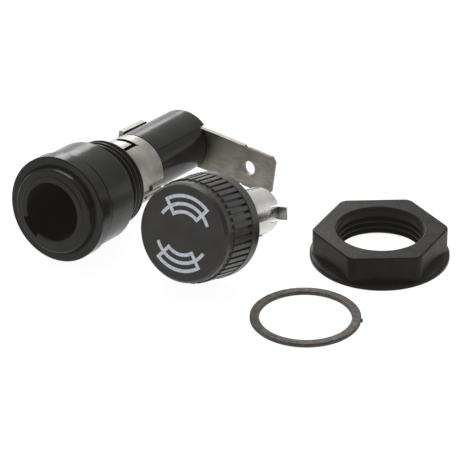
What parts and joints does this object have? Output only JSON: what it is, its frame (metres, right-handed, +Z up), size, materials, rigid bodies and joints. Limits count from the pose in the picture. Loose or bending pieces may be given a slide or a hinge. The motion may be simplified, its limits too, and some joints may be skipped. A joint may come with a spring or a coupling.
{
  "type": "panel-mount cartridge fuse holder",
  "caption": "Panel-mount fuse holder kit: bayonet body with side and rear terminals, knurled cap with fuse clip, flanged hex nut and flat gasket.",
  "frame": {"origin": "on the surface under the middle of the laid-out kit", "axes": "+Z up from the surface, +Y along the holder from its mouth to its rear terminal, +X to the right of the mouth"},
  "size_m": [0.0568, 0.039, 0.0165],
  "materials": {
    "black_phenolic": "glossy moulded phenolic, faint mould marks",
    "tinned_band": "bright tin plate over brass strip, rolled",
    "tinned_tab": "dull tin plate over brass strip, stamped",
    "eyelet_metal": "tin-plated brass eyelet",
    "spring_wire": "plain spring wire",
    "plunger_metal": "tin-plated brass cup",
    "black_matte_plastic": "matte face, satin knurled side",
    "tinned_sleeve": "bright tin-plated rolled sleeve",
    "collar_metal": "tin-plated ring",
    "rivet_metal": "tin-plated rivet",
    "nut_plastic": "satin moulded thermoplastic",
    "gasket_rubber": "flat die-cut rubber"
  },
  "bodies": {
    "holder": {"housing": "black_phenolic", "side_terminal": "tinned_band", "rear_terminal": "tinned_tab", "rear_eyelet": "eyelet_metal", "contact_spring": "spring_wire"},
    "rear_contact": {"contact_plunger": "plunger_metal"},
    "cap_core": {"cap_rivet": "rivet_metal"},
    "cap": {"knob": "black_matte_plastic", "fuse_clip": "tinned_sleeve", "clip_collar": "collar_metal"},
    "nut": {"mounting_nut": "nut_plastic"},
    "gasket": {"panel_gasket": "gasket_rubber"}
  },
  "joints": [
    {"name": "contact_plunge", "type": "slide", "parent": "holder", "child": "rear_contact", "axis": [0, 0.992, -0.1264], "range_m": [0, 0.0026], "stiffness_N_per_m": 400, "springref_m": -0.002, "deforming": ["contact_spring"]},
    {"name": "cap_draw", "type": "slide", "parent": "holder", "child": "cap_core", "axis": [0, -0.959, 0.2833], "range_m": [0, 0.014]},
    {"name": "cap_twist", "type": "hinge", "parent": "cap_core", "child": "cap", "pos_m": [-0.00028, -0.01463, 0.00976], "axis": [0, -0.959, 0.2833], "range_deg": [-45, 0]},
    {"name": "nut_spin", "type": "hinge", "parent": "holder", "child": "nut", "pos_m": [0.01827, 0.00932, 0], "axis": [0, 0, 1], "continuous": true},
    {"name": "gasket_lift", "type": "slide", "parent": "holder", "child": "gasket", "axis": [0, 0, 1], "range_m": [0, 0.012]}
  ]
}
